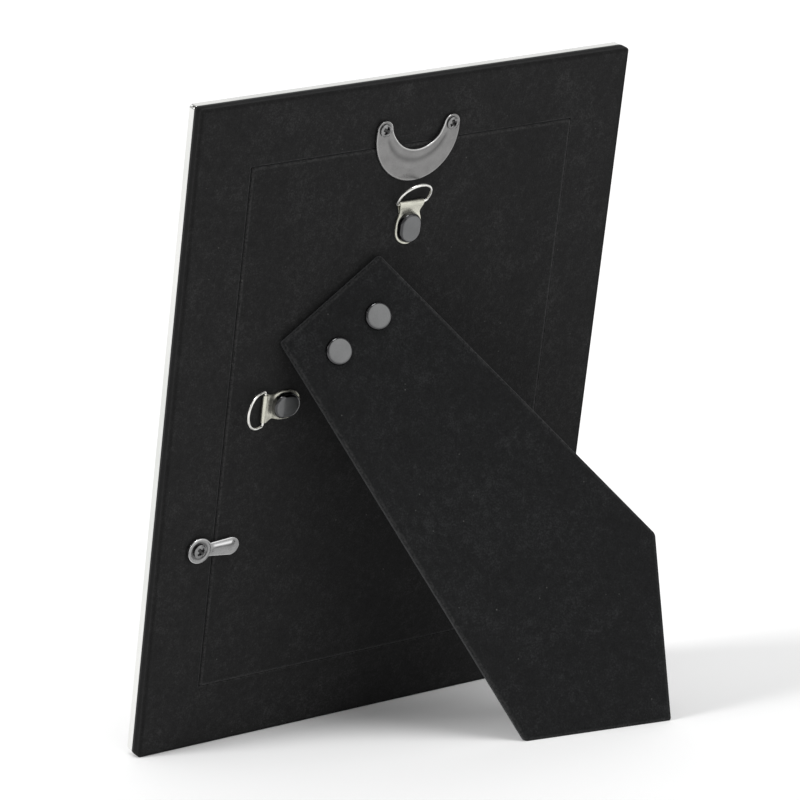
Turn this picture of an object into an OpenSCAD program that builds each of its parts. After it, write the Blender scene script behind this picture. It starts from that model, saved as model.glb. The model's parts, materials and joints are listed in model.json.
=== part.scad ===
// Easel-back photo frame: mitred silver moulding, velvet back, lift-out back panel and a hinged strut.
// The part stands on its lower back edge and on the foot of the strut, leaning back. Front faces -Y.
// Most pieces are drawn on the upright frame (x across, y out of the back, z up), then leaned back.

/* [Frame] */
// Overall width
frame_w = 176; // [140:1:240]
// Overall height, along the frame's own face
frame_h = 232; // [190:1:320]
// Lean of the frame away from upright, in degrees
lean = 14.2; // [10:0.1:18]
// Outline corner radius
corner_r = 1; // [0.5:0.1:4]

/* [Silver moulding] */
// Width of the moulding's face
face_w = 28; // [25:0.5:36]
// Thickness of the sheet metal
sheet_t = 0.8; // [0.5:0.1:1]
// Depth of the outer edge's front, from the back of the frame
edge_depth = 7.4; // [6.6:0.1:9]
// Depth at the inner lip, in front of the glass
lip_depth = 7; // [6.8:0.1:9]
// How far the face swells between edge and lip
face_swell = 2; // [0.5:0.1:3]
// Gap between the sheet metal and the boards inside it
sheet_gap = 0.1; // [0.05:0.05:0.3]

/* [Back boards] */
// Thickness of the velvet
velvet_t = 0.4; // [0.2:0.1:0.8]
// Thickness of the border board, whose sides show behind the silver
border_t = 3.8; // [3:0.1:4]
// Border beside the lift-out panel
border_side = 22.2; // [18:0.1:26]
// Border above and below the lift-out panel
border_end = 22.6; // [18:0.1:26]
// Gap all round the lift-out panel
panel_gap = 0.5; // [0.2:0.1:0.8]
// Thickness of the panel board
panel_t = 2.4; // [1.5:0.1:2.8]
// How far the panel stands proud of the border
panel_proud = 0.5; // [0.2:0.1:1]

/* [Glazing] */
// Thickness of the glass
glass_t = 1.6; // [1:0.1:2]
// Thickness of the print
print_t = 0.3; // [0.2:0.1:0.5]
// Play of glass, print and card in their opening
glazing_gap = 0.3; // [0.1:0.1:0.5]

/* [Strut] */
// Angle between the open strut and the panel
open_angle = 26.8; // [22:0.1:32]
// Slant of the hinge line from level
hinge_slant = 34.8; // [28:0.1:40]
// Distance of the hinge pin's middle from the frame's centre line
hinge_x = 26; // [15:0.5:32]
// Distance of the hinge pin's middle below the top edge
hinge_down = 78.4; // [66:0.1:100]
// Width of the strut's top edge
strut_top_w = 45.2; // [42:0.1:54]
// Flare of each long edge of the strut
strut_flare = 6.85; // [4:0.05:9]
// Thickness of the strut with its velvet
strut_t = 2.8; // [2.2:0.1:3.4]
// Thickness of the strut's velvet
strut_velvet_t = 0.35; // [0.2:0.05:0.5]
// Place of the foot's point across the strut
foot_point = 3; // [-4:0.5:8]
// Slope of the foot's short edge, which rests when the frame lies on its side
foot_side_slope = 55.7; // [50:0.1:60]
// Corner radius at the foot's point
foot_point_r = 1; // [0.5:0.1:2]
// Corner radius at the end of the short edge
foot_side_r = 3; // [1:0.1:4]
// Corner radius of the upper corners
strut_top_r = 1.2; // [0.5:0.1:3]
// Corner radius at the heel of the foot
foot_heel_r = 1.8; // [0.5:0.1:4]

/* [Strut hinge] */
// Radius of the hinge pin
pin_r = 0.55; // [0.45:0.05:0.7]
// Running clearance of the pin in the moving knuckles
pin_gap = 0.06; // [0.03:0.01:0.09]
// Outer radius of the knuckles
knuckle_r = 1.1; // [1:0.05:1.4]
// Thickness of both leaves
leaf_t = 0.5; // [0.4:0.05:0.6]
// Length of the knuckle barrel
barrel_l = 36; // [30:0.5:40]
// Length of each leaf below the pin
leaf_l = 15; // [13:0.5:20]
// Clearance round a turning knuckle
knuckle_gap = 0.3; // [0.25:0.05:0.4]
// Gap between neighbouring knuckles
knuckle_end_gap = 0.2; // [0.1:0.05:0.4]
// Clearance left at the strut's open stop
stop_gap = 0.08; // [0.05:0.01:0.2]

/* [Rivets] */
// Head radius of the two strut rivets
strut_rivet_r = 4.7; // [3.5:0.1:5]
// Head height of the strut rivets
strut_rivet_h = 1.4; // [1:0.1:2]
// Distance of each strut rivet from the strut's middle line
strut_rivet_x = 9; // [7:0.1:12]
// Distance of the strut rivets below the hinge pin
strut_rivet_down = 9.2; // [7:0.1:10]
// Shank radius of every rivet
shank_r = 1.2; // [0.8:0.1:1.5]
// Radius of a rivet's peened tail
tail_r = 2; // [1.6:0.1:2.2]
// Height of a rivet's peened tail
tail_h = 0.45; // [0.3:0.05:0.6]
// Distance of each panel rivet from the middle of the fixed leaf
leaf_rivet_x = 4.6; // [3:0.1:6]
// Half width of a hanger rivet's oval head
hanger_rivet_r = 4.3; // [3.5:0.1:5]
// How much longer than wide a hanger rivet's head is
hanger_rivet_stretch = 1.9; // [0:0.1:2.5]
// Head height of the hanger rivets
hanger_rivet_h = 2; // [1.2:0.1:2.6]

/* [Hangers] */
// Distance of the top hanger's rivet below the top edge
top_hanger_down = 52; // [48:0.1:60]
// Distance of the top hanger from the centre line
top_hanger_x = -0.3; // [-10:0.5:2]
// Distance of the side hanger's rivet from the side edge
side_hanger_in = 44.9; // [42:0.1:47]
// Distance of the side hanger's rivet below the top edge
side_hanger_down = 109.3; // [100:0.1:112]
// Thickness of one layer of the strap
strap_t = 0.4; // [0.3:0.05:0.5]
// Radius of the strap's round end
strap_round_r = 5.1; // [4.8:0.1:6]
// Width of the strap at its fold
strap_fold_w = 9.8; // [8:0.1:11]
// Width of the strap's waist
strap_waist_w = 8.8; // [7:0.1:10]
// Distance from the rivet to the ring's bar
strap_l = 8.7; // [8.4:0.1:11]
// Radius of the ring's wire
wire_r = 0.5; // [0.4:0.05:0.6]
// Running clearance of the ring's bar in the fold
wire_gap = 0.06; // [0.03:0.01:0.09]
// Half width of the ring, to the middle of the wire
ring_half_w = 6.3; // [6.2:0.1:7]
// Reach of the ring from its bar, to the middle of the wire
ring_reach = 9; // [8:0.1:11]
// Bend radius of the ring's two corners
ring_bend_r = 1; // [0.8:0.1:1.2]
// Clearance between the strap's fold and the ring's bends
ring_side_gap = 0.3; // [0.2:0.05:0.4]
// Angle of the top ring off the panel
top_ring_lift = 30; // [10:1:60]
// Angle of the side ring off the panel
side_ring_lift = 20; // [10:1:60]

/* [Crescent clip] */
// Outer radius of the crescent
clip_r = 17; // [14:0.1:20]
// Radius of the crescent's inner edge
clip_inner_r = 11.2; // [9:0.1:12]
// Rise of the inner edge's centre above the screws
clip_inner_up = 3.4; // [2:0.1:5]
// Drop of the outer edge's centre below the screws
clip_outer_drop = 2; // [1:0.1:3]
// Half the distance between the two screws
clip_screw_x = 13.85; // [12:0.05:16]
// Distance of the screws below the top edge
clip_down = 16.4; // [14:0.1:19]
// Distance of the clip from the centre line
clip_x = -0.2; // [-6:0.1:6]
// Turn of the clip out of level, in degrees
clip_turn = -1.9; // [-5:0.1:5]
// Sheet thickness of the clip
clip_t = 0.8; // [0.6:0.1:1.2]
// Gap between the clip and the panel under it
clip_gap = 0.1; // [0.05:0.05:0.3]

/* [Turn button] */
// Distance of the button's screw from the side edge
button_in = 15.7; // [14:0.1:17]
// Distance of the button's screw below the top edge
button_down = 157.5; // [150:0.5:175]
// Radius of the button's round end
button_r = 4.6; // [4:0.1:5]
// Length of the button from its screw to its tip
button_l = 15.8; // [13:0.1:20]
// Width of the arm at its root
button_root_w = 4.2; // [3.5:0.1:5]
// Width of the arm near its tip
button_tip_w = 6.6; // [5:0.1:8]
// Thickness of the button
button_t = 1.1; // [0.8:0.1:1.4]
// Angle of the arm below level, pointing inwards
button_turn = 1.5; // [0:1:30]

/* [Screws] */
// Head radius of the clip's screws
screw_head_r = 2.25; // [1.8:0.05:2.6]
// Head radius of the button's screw
button_screw_head_r = 2.5; // [2:0.05:3]
// Head height of every screw
screw_head_h = 1.1; // [0.8:0.1:1.4]
// Shank radius of every screw
screw_r = 0.9; // [0.7:0.05:1.2]
// Length of the screws below the border's surface
screw_l = 5; // [4:0.1:6]
// Running clearance of the button on its screw
screw_gap = 0.08; // [0.05:0.01:0.1]
// Width of the arms of the cross recess
recess_w = 0.6; // [0.4:0.05:0.8]
// Depth of the cross recess
recess_d = 0.7; // [0.4:0.1:0.8]

/* [Hidden] */
$fn = 64;

face_steps = 14;
fillet_steps = 6;

// Levels, measured out of the back from the border's surface
border_front = -velvet_t - border_t;
silver_back = border_front - sheet_gap;
panel_top = panel_proud;
panel_front = panel_proud - velvet_t - panel_t;
glass_front = sheet_t - lip_depth;
print_front = glass_front + glass_t;
card_front = print_front + print_t;

// The lift-out panel and the opening it sits in
opening_w = frame_w - 2 * border_side + panel_gap;
opening_h = frame_h - 2 * border_end + panel_gap;
panel_w = opening_w - 2 * panel_gap;
panel_h = opening_h - 2 * panel_gap;
glazing_w = opening_w - 2 * glazing_gap;
glazing_h = opening_h - 2 * glazing_gap;

// The hinge pin: its height over the panel clears both leaves and the turning knuckles
pin_over_panel = knuckle_r + knuckle_gap;
pin_y = panel_top + pin_over_panel;
pin_z = frame_h - hinge_down;
strut_inner = knuckle_r + knuckle_gap;
strut_outer = strut_inner + strut_t;
// The strut's top edge stands above the pin by the amount that stops it at the open angle
heel = (pin_over_panel + strut_inner * cos(open_angle) - stop_gap) / sin(open_angle);
knuckle_l = barrel_l / 5;

// Height over the table of a point of the open strut: x, y out of the strut, z up the strut
function over_table(x, y, z) =
    -(pin_y + y * cos(open_angle) - z * sin(open_angle)) * sin(lean)
    + (pin_z - x * sin(hinge_slant)
    + (y * sin(open_angle) + z * cos(open_angle)) * cos(hinge_slant)) * cos(lean);
table_rate = over_table(0, 0, 1) - over_table(0, 0, 0);
// Place down the strut at which its outer face meets the table
function table_z(x) = -over_table(x, strut_outer, 0) / table_rate;
// Reach of that point behind the frame's lower back edge
function table_reach(x, y, z) =
    (pin_y + y * cos(open_angle) - z * sin(open_angle)) * cos(lean)
    + (pin_z - x * sin(hinge_slant)
    + (y * sin(open_angle) + z * cos(open_angle)) * cos(hinge_slant)) * sin(lean);

// The strut's outline, x across and y up: top corners, foot side, foot point, heel
flare_rate = tan(strut_flare);
function edge_x(z) = strut_top_w / 2 + (heel - z) * flare_rate;
point_at = [-foot_point, table_z(-foot_point)];
side_rise = tan(foot_side_slope);
side_z = (point_at[1] + side_rise * (edge_x(0) + point_at[0])) / (1 + side_rise * flare_rate);
side_at = [-edge_x(side_z), side_z];
table_slope = table_z(1) - table_z(0);
heel_z = (table_z(0) + table_slope * edge_x(0)) / (1 + table_slope * flare_rate);
heel_at = [edge_x(heel_z), heel_z];
strut_corners = [[-strut_top_w / 2, heel], side_at, point_at, heel_at, [strut_top_w / 2, heel]];
strut_radii = [strut_top_r, foot_side_r, foot_point_r, foot_heel_r, strut_top_r];

// Place of the part in its own frame: the middle of its depth is the origin
face_rate = lip_depth - edge_depth;
function face_at(u) = edge_depth + face_rate * u + 4 * face_swell * u * (1 - u);
front_reach = max([for (i = [0:face_steps])
    face_at(i / face_steps) * cos(lean) - i / face_steps * face_w * sin(lean)]);
back_reach = max([for (p = outline(strut_corners, strut_radii))
    table_reach(p[0], strut_outer, p[1])]);
shift_y = (back_reach - front_reach) / 2;

function unit(v) = v / norm(v);
// Points of the round at corner b between its neighbours a and c
function fillet(a, b, c, r) = let (
    u = unit(a - b),
    w = unit(c - b),
    half = acos(u * w) / 2,
    mid = b + unit(u + w) * r / sin(half),
    from = b + u * r / tan(half) - mid,
    to = b + w * r / tan(half) - mid,
    start = atan2(from[1], from[0]),
    raw = atan2(to[1], to[0]) - start,
    sweep = raw > 180 ? raw - 360 : (raw < -180 ? raw + 360 : raw))
    [for (i = [0:fillet_steps]) mid + r * [cos(start + sweep * i / fillet_steps),
        sin(start + sweep * i / fillet_steps)]];
// A closed outline with every corner rounded by its own radius
function outline(corners, radii) = let (n = len(corners))
    [for (i = [0:n - 1]) each fillet(corners[(i + n - 1) % n], corners[i],
        corners[(i + 1) % n], radii[i])];

// ---- placing ----

// Leans the upright frame back and centres the part over its origin
module stand() translate([0, -shift_y, 0]) rotate([-lean, 0, 0]) children();

// Draws an outline of the upright frame (x, z) from level y_low up to level y_high
module slab(y_low, y_high) translate([0, y_high, 0]) rotate([90, 0, 0])
    linear_extrude(y_high - y_low) children();

// A straight round bar out of the back, from level y_low to level y_high
module post(x, z, r, y_low, y_high) translate([x, y_high, z]) rotate([90, 0, 0])
    cylinder(r = r, h = y_high - y_low);

// The hinge's frame: x along the pin, y out of the panel, z up the strut
module at_hinge(angle) translate([hinge_x, pin_y, pin_z]) rotate([0, hinge_slant, 0])
    rotate([angle, 0, 0]) children();

// A hanger's frame: z towards the ring, on the panel's surface
module at_top_hanger() translate([top_hanger_x, panel_top, frame_h - top_hanger_down])
    children();
module at_side_hanger()
    translate([frame_w / 2 - side_hanger_in, panel_top, frame_h - side_hanger_down])
    rotate([0, 90, 0]) children();

// ---- silver moulding ----

module moulding_section() polygon(concat(
    [[silver_back, 0]],
    [for (i = [0:face_steps]) [-face_at(i / face_steps), face_w * i / face_steps]],
    [for (i = [face_steps:-1:1]) [sheet_t - face_at(i / face_steps), face_w * i / face_steps]],
    [[sheet_t - face_at(sheet_t / face_w), sheet_t], [silver_back, sheet_t]]));

module core_section() polygon(concat(
    [[border_front, sheet_t + sheet_gap]],
    [for (i = [0:face_steps]) let (t = core_t(i / face_steps))
        [sheet_t + sheet_gap - face_at(t / face_w), t]],
    [[border_front, core_t(1)]]));
core_inner = max(frame_w - opening_w, frame_h - opening_h) / 2;
function core_t(u) = sheet_t + sheet_gap + u * (core_inner - sheet_t - sheet_gap);

// One mitred length, lying along x with its outer edge at z = 0
module mitred(length, width) intersection() {
    translate([-length / 2, 0, 0]) rotate([90, 0, 90]) linear_extrude(length) children();
    slab(-2 * lip_depth, 1) intersection() {
        polygon([[-length / 2, 0], [length / 2, 0], [length / 2 - width, width],
            [width - length / 2, width]]);
        polygon(outline([[-length / 2, 0], [length / 2, 0], [length / 2, length],
            [-length / 2, length]], [corner_r, corner_r, corner_r, corner_r]));
    }
}

module rail_bottom() color([0.78, 0.78, 0.8]) stand()
    mitred(frame_w, face_w) moulding_section();

module rail_top() color([0.8, 0.8, 0.82]) stand()
    translate([0, 0, frame_h]) mirror([0, 0, 1]) mitred(frame_w, face_w) moulding_section();

module rail_left() color([0.76, 0.76, 0.78]) stand()
    translate([-frame_w / 2, 0, frame_h / 2]) rotate([0, 90, 0])
    mitred(frame_h, face_w) moulding_section();

module rail_right() color([0.76, 0.76, 0.78]) stand()
    translate([frame_w / 2, 0, frame_h / 2]) rotate([0, -90, 0])
    mitred(frame_h, face_w) moulding_section();

// ---- boards, velvet and glazing ----

// The wooden core under the silver face, with pilot holes for the three screws
module core_frame() color([0.72, 0.56, 0.38]) stand() difference() {
    for (side = [0, 1]) {
        translate([0, 0, side * frame_h]) mirror([0, 0, side])
            mitred(frame_w, core_inner) core_section();
        mirror([side, 0, 0]) translate([frame_w / 2, 0, frame_h / 2]) rotate([0, -90, 0])
            mitred(frame_h, core_inner) core_section();
    }
    slab(-2 * lip_depth, 1) rectangle(opening_w, opening_h, frame_h / 2);
    screw_holes(-screw_l, 0);
}

module rectangle(w, h, mid) translate([-w / 2, mid - h / 2]) square([w, h]);

module border_outline() difference() {
    polygon(outline([[-frame_w / 2, 0], [frame_w / 2, 0], [frame_w / 2, frame_h],
        [-frame_w / 2, frame_h]], [corner_r, corner_r, corner_r, corner_r]));
    rectangle(opening_w, opening_h, frame_h / 2);
}

module screw_holes(y_low, y_high) {
    for (side = [-1, 1])
        at_clip() post(side * clip_screw_x, 0, screw_r, y_low, y_high);
    post(frame_w / 2 - button_in, frame_h - button_down, screw_r, y_low, y_high);
}

module border_board() color([0.45, 0.33, 0.22]) stand() difference() {
    slab(border_front, -velvet_t) border_outline();
    screw_holes(border_front - 1, 1);
}

module border_velvet() color([0.13, 0.13, 0.14]) stand() difference() {
    slab(-velvet_t, 0) border_outline();
    screw_holes(-2 * velvet_t, 1);
}

module panel_holes(y_low, y_high) {
    for (side = [-1, 1])
        at_hinge(0) post(side * leaf_rivet_x, -strut_rivet_down, shank_r,
            y_low - pin_y, y_high - pin_y);
    at_top_hanger() post(0, 0, shank_r, y_low - panel_top, y_high - panel_top);
    at_side_hanger() post(0, 0, shank_r, y_low - panel_top, y_high - panel_top);
}

module panel_board() color([0.45, 0.33, 0.22]) stand() difference() {
    slab(panel_front, panel_top - velvet_t) rectangle(panel_w, panel_h, frame_h / 2);
    panel_holes(panel_front - 1, panel_top);
}

module panel_velvet() color([0.12, 0.12, 0.13]) stand() difference() {
    slab(panel_top - velvet_t, panel_top) rectangle(panel_w, panel_h, frame_h / 2);
    panel_holes(panel_front, panel_top + 1);
}

module glass_pane() color([0.8, 0.9, 0.9, 0.4]) stand()
    slab(glass_front, print_front) rectangle(glazing_w, glazing_h, frame_h / 2);

module print_sheet() color([0.93, 0.92, 0.9]) stand()
    slab(print_front, card_front) rectangle(glazing_w, glazing_h, frame_h / 2);

module backing_card() color([0.6, 0.52, 0.4]) stand()
    slab(card_front, panel_front) rectangle(glazing_w, glazing_h, frame_h / 2);

// ---- strut hinge ----

module knuckle(place) translate([(place - 2.5) * knuckle_l + knuckle_end_gap / 2, 0, 0])
    rotate([0, 90, 0]) cylinder(r = knuckle_r, h = knuckle_l - knuckle_end_gap);

// Room for a neighbour's turning knuckle
module knuckle_room(place) translate([(place - 2.5) * knuckle_l - knuckle_end_gap / 2,
    -2 * knuckle_r, -knuckle_r - knuckle_gap])
    cube([knuckle_l + knuckle_end_gap, 4 * knuckle_r, 3 * knuckle_r]);

module pin_bore(r) rotate([0, 90, 0]) cylinder(r = r, h = barrel_l + 2, center = true);

// Each leaf lies against its board and wraps its own knuckles round the pin
module leaf(level, places, rooms, bore_r, rivet_x) difference() {
    union() {
        difference() {
            translate([-barrel_l / 2, level, -leaf_l]) cube([barrel_l, leaf_t, leaf_l]);
            for (place = rooms) knuckle_room(place);
        }
        for (place = places) {
            knuckle(place);
            translate([(place - 2.5) * knuckle_l + knuckle_end_gap / 2,
                min(level, 0), -knuckle_r])
                cube([knuckle_l - knuckle_end_gap, abs(level) + leaf_t * (level > 0 ? 1 : 0),
                    knuckle_r]);
        }
    }
    pin_bore(bore_r);
    for (side = [-1, 1]) post(side * rivet_x, -strut_rivet_down, shank_r, level - 1, level + 1);
}

module hinge_fixed_leaf() color([0.6, 0.6, 0.62]) stand() at_hinge(0)
    leaf(-pin_over_panel, [0, 2, 4], [1, 3], pin_r, leaf_rivet_x);

module hinge_moving_leaf() color([0.6, 0.6, 0.62]) stand() at_hinge(open_angle)
    leaf(strut_inner - leaf_t, [1, 3], [0, 2, 4], pin_r + pin_gap, strut_rivet_x);

module hinge_pin() color([0.7, 0.7, 0.72]) stand() at_hinge(0)
    rotate([0, 90, 0]) cylinder(r = pin_r, h = barrel_l, center = true);

// A rivet with a low head on a flat leaf, its shank peened flush in the panel
module leaf_rivet(side) color([0.5, 0.5, 0.52]) stand() at_hinge(0) {
    post(side * leaf_rivet_x, -strut_rivet_down, shank_r,
        panel_front - pin_y, leaf_t - pin_over_panel);
    post(side * leaf_rivet_x, -strut_rivet_down, tail_r,
        leaf_t - pin_over_panel, leaf_t - pin_over_panel + tail_h);
}
module leaf_rivet_left() leaf_rivet(-1);
module leaf_rivet_right() leaf_rivet(1);

// ---- strut ----

// The strut's slab, drawn in on all sides by the amount inset and cut level with the table
module strut_slab(inset) intersection() {
    at_hinge(open_angle) slab(strut_inner + inset, strut_outer - inset)
        offset_outline(inset);
    rotate([lean, 0, 0]) translate([-2 * frame_w, -2 * frame_h, inset])
        cube([4 * frame_w, 4 * frame_h, 2 * frame_h]);
}

function edge_normal(a, b) = let (d = unit(b - a)) [-d[1], d[0]];
// The corner b moved in by the amount inset from both its edges
function drawn_in(a, b, c, inset) = let (
    m = edge_normal(a, b),
    n = edge_normal(b, c))
    b + inset * (m + n) / (1 + m * n);
module offset_outline(inset) {
    n = len(strut_corners);
    polygon(outline([for (i = [0:n - 1]) drawn_in(strut_corners[(i + n - 1) % n],
        strut_corners[i], strut_corners[(i + 1) % n], inset)],
        [for (r = strut_radii) max(r - inset, 0.3)]));
}

module strut_rivet_holes() at_hinge(open_angle) for (side = [-1, 1])
    post(side * strut_rivet_x, -strut_rivet_down, shank_r, 0, 2 * strut_outer);

module strut_board() color([0.4, 0.3, 0.2]) stand() difference() {
    strut_slab(strut_velvet_t);
    strut_rivet_holes();
}

module strut_velvet() color([0.11, 0.11, 0.12]) stand() difference() {
    strut_slab(0);
    strut_slab(strut_velvet_t);
    strut_rivet_holes();
}

// A broad flat head with a rounded rim, a shank and a peened tail inside
module strut_rivet(side) color([0.52, 0.52, 0.54]) stand() at_hinge(open_angle)
    translate([side * strut_rivet_x, 0, -strut_rivet_down]) rotate([-90, 0, 0])
    rotate_extrude() {
        rim = strut_rivet_h / 2;
        polygon([[0, strut_inner - leaf_t - tail_h], [tail_r, strut_inner - leaf_t - tail_h],
            [tail_r, strut_inner - leaf_t], [shank_r, strut_inner - leaf_t],
            [shank_r, strut_outer], [strut_rivet_r - rim, strut_outer],
            [strut_rivet_r - rim, strut_outer + strut_rivet_h],
            [0, strut_outer + strut_rivet_h]]);
        intersection() {
            translate([strut_rivet_r - rim, strut_outer + rim]) circle(r = rim, $fn = 32);
            translate([strut_rivet_r - rim, strut_outer]) square([rim, strut_rivet_h]);
        }
    }
module strut_rivet_left() strut_rivet(-1);
module strut_rivet_right() strut_rivet(1);

// ---- hangers ----

strap_level = 2 * strap_t;
fold_r = wire_r + wire_gap + strap_t;
// The ring's bar runs in the fold, level with the middle of the fold
module at_bar() translate([0, fold_r, strap_l]) children();

module strap_outline() {
    for (end = [-1, 1]) translate([0, end * hanger_rivet_stretch / 2])
        circle(r = strap_round_r);
    rectangle(2 * strap_round_r, hanger_rivet_stretch, 0);
    polygon([[-strap_waist_w / 2, 0], [strap_waist_w / 2, 0],
        [strap_waist_w / 2, strap_l - 2 * fold_r], [strap_fold_w / 2, strap_l - fold_r / 2],
        [strap_fold_w / 2, strap_l], [-strap_fold_w / 2, strap_l],
        [-strap_fold_w / 2, strap_l - fold_r / 2], [-strap_waist_w / 2, strap_l - 2 * fold_r]]);
}

// A strip folded in two round the ring's bar and riveted through both layers
module strap() difference() {
    union() {
        slab(0, strap_level) strap_outline();
        at_bar() rotate([0, 90, 0])
            cylinder(r = fold_r, h = strap_fold_w, center = true);
        // the upper layer slopes from the top of the fold down to the lower one
        translate([-strap_waist_w / 2, 0, 0]) rotate([90, 0, 90]) linear_extrude(strap_waist_w)
            polygon([[strap_level / 2, strap_l - 4 * fold_r], [strap_level, strap_l - 4 * fold_r],
                [2 * fold_r, strap_l], [strap_level / 2, strap_l]]);
    }
    at_bar() rotate([0, 90, 0])
        cylinder(r = wire_r + wire_gap, h = 2 * strap_fold_w, center = true);
    post(0, 0, shank_r, -1, strap_level + 1);
}

// A button-like rivet with an oval head, rounded at its rim, longer along the strap
module hanger_rivet() {
    rim = hanger_rivet_h / 3;
    foot_r = hanger_rivet_r - rim;
    top = strap_level + hanger_rivet_h;
    post(0, 0, shank_r, panel_front - panel_top, strap_level + rim);
    for (end = [-1, 1]) translate([0, 0, end * hanger_rivet_stretch / 2]) rotate([-90, 0, 0])
        rotate_extrude() {
            polygon([[0, strap_level], [foot_r, strap_level], [hanger_rivet_r, top - rim],
                [foot_r, top - rim], [foot_r, top], [0, top]]);
            intersection() {
                translate([foot_r, top - rim]) circle(r = rim, $fn = 32);
                translate([foot_r, top - rim]) square(rim);
            }
        }
    translate([0, 0, -hanger_rivet_stretch / 2]) linear_extrude(hanger_rivet_stretch)
        for (side = [0, 1]) mirror([side, 0]) {
            polygon([[0, strap_level], [foot_r, strap_level], [hanger_rivet_r, top - rim],
                [foot_r, top - rim], [foot_r, top], [0, top]]);
            intersection() {
                translate([foot_r, top - rim]) circle(r = rim, $fn = 32);
                translate([foot_r, top - rim]) square(rim);
            }
        }
}

// A wire D: a straight bar, two tight bends, two short legs and a half-round bow
module ring_bend(angle) rotate_extrude(angle = angle) translate([ring_bend_r, 0])
    circle(r = wire_r, $fn = 32);
module ring() rotate([90, 0, 0]) {
    bar_l = 2 * (ring_half_w - ring_bend_r);
    leg_l = ring_reach - ring_half_w - ring_bend_r;
    rotate([0, 90, 0]) cylinder(r = wire_r, h = bar_l, center = true, $fn = 32);
    for (side = [0, 1]) mirror([side, 0, 0]) {
        translate([bar_l / 2, ring_bend_r, 0]) rotate([0, 0, -90]) ring_bend(90);
        translate([ring_half_w, ring_bend_r, 0]) rotate([-90, 0, 0])
            cylinder(r = wire_r, h = leg_l, $fn = 32);
    }
    translate([0, ring_reach - ring_half_w, 0]) rotate_extrude(angle = 180)
        translate([ring_half_w, 0]) circle(r = wire_r, $fn = 32);
}

module top_strap() color([0.8, 0.79, 0.75]) stand() at_top_hanger() strap();
module side_strap() color([0.8, 0.79, 0.75]) stand() at_side_hanger() strap();
module top_rivet() color([0.5, 0.5, 0.51]) stand() at_top_hanger() hanger_rivet();
module side_rivet() color([0.5, 0.5, 0.51]) stand() at_side_hanger() hanger_rivet();
module top_ring() color([0.85, 0.84, 0.82]) stand() at_top_hanger()
    at_bar() rotate([-top_ring_lift, 0, 0]) ring();
module side_ring() color([0.85, 0.84, 0.82]) stand() at_side_hanger()
    at_bar() rotate([-side_ring_lift, 0, 0]) ring();

// ---- crescent clip ----

module at_clip() translate([clip_x, 0, frame_h - clip_down]) rotate([0, clip_turn, 0])
    children();

clip_level = panel_top + clip_gap;
clip_end_r = clip_r - clip_screw_x;

module crescent() difference() {
    union() {
        intersection() {
            translate([0, -clip_outer_drop]) circle(r = clip_r);
            translate([-clip_r, -2 * clip_r]) square([2 * clip_r, 2 * clip_r]);
        }
        for (side = [-1, 1]) translate([side * clip_screw_x, 0]) circle(r = clip_end_r);
    }
    translate([0, clip_inner_up]) circle(r = clip_inner_r);
}

module crescent_clip() color([0.55, 0.55, 0.54]) stand() at_clip()
    difference() {
        union() {
            slab(clip_level, clip_level + clip_t) crescent();
            for (side = [-1, 1])
                post(side * clip_screw_x, 0, screw_head_r, 0, clip_level);
        }
        for (side = [-1, 1])
            post(side * clip_screw_x, 0, screw_r, -1, clip_level + clip_t + 1);
    }

// ---- screws and turn button ----

// A low round head with a cross recess, standing on level seat
module screw(seat, head_r) difference() {
    union() {
        post(0, 0, screw_r, -screw_l, seat + 0.1);
        intersection() {
            post(0, 0, head_r, seat, seat + screw_head_h);
            translate([0, seat + screw_head_h - 2 * head_r, 0]) sphere(r = 2 * head_r);
        }
    }
    for (turn = [45, 135]) translate([0, seat + screw_head_h, 0]) rotate([0, turn, 0])
        cube([1.2 * head_r, 2 * recess_d, recess_w], center = true);
}

module clip_screw(side) color([0.6, 0.6, 0.6]) stand() at_clip()
    translate([side * clip_screw_x, 0, 0]) screw(clip_level + clip_t, screw_head_r);
module clip_screw_left() clip_screw(-1);
module clip_screw_right() clip_screw(1);

module at_button() translate([frame_w / 2 - button_in, 0, frame_h - button_down]) children();

button_level = panel_top + clip_gap;
module button_outline() {
    circle(r = button_r);
    tip_r = button_tip_w / 2;
    arm = button_l - tip_r;
    polygon([[0, -button_root_w / 2], [0, button_root_w / 2],
        [-arm, tip_r], [-arm, -tip_r]]);
    intersection() {
        translate([-arm, 0]) circle(r = tip_r);
        translate([-arm - tip_r, -tip_r]) square([tip_r, button_tip_w]);
    }
}

module turn_button() color([0.66, 0.67, 0.68]) stand() at_button()
    rotate([0, -button_turn, 0]) difference() {
        union() {
            slab(button_level, button_level + button_t) button_outline();
            post(0, 0, button_screw_head_r, 0.02, button_level);
        }
        post(0, 0, screw_r + screw_gap, -1, button_level + button_t + 1);
    }

module button_screw() color([0.62, 0.62, 0.63]) stand() at_button()
    screw(button_level + button_t + 0.03, button_screw_head_r);

rail_top();
rail_bottom();
rail_left();
rail_right();
core_frame();
glass_pane();
print_sheet();
backing_card();
border_board();
border_velvet();
panel_board();
panel_velvet();
hinge_fixed_leaf();
hinge_pin();
leaf_rivet_left();
leaf_rivet_right();
hinge_moving_leaf();
strut_board();
strut_velvet();
strut_rivet_left();
strut_rivet_right();
crescent_clip();
clip_screw_left();
clip_screw_right();
top_strap();
top_rivet();
top_ring();
side_strap();
side_rivet();
side_ring();
turn_button();
button_screw();
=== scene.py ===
"""Easel-back photo frame: the visual model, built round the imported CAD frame.

Lengths are in millimetres on the upright frame of part.scad (x across, y out of the back from the border's
surface, z up from the lower back edge), and each piece is placed in metres in the CAD frame.
"""

import json
import math

import bmesh
import bpy
from mathutils import Matrix, Vector, noise


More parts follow.
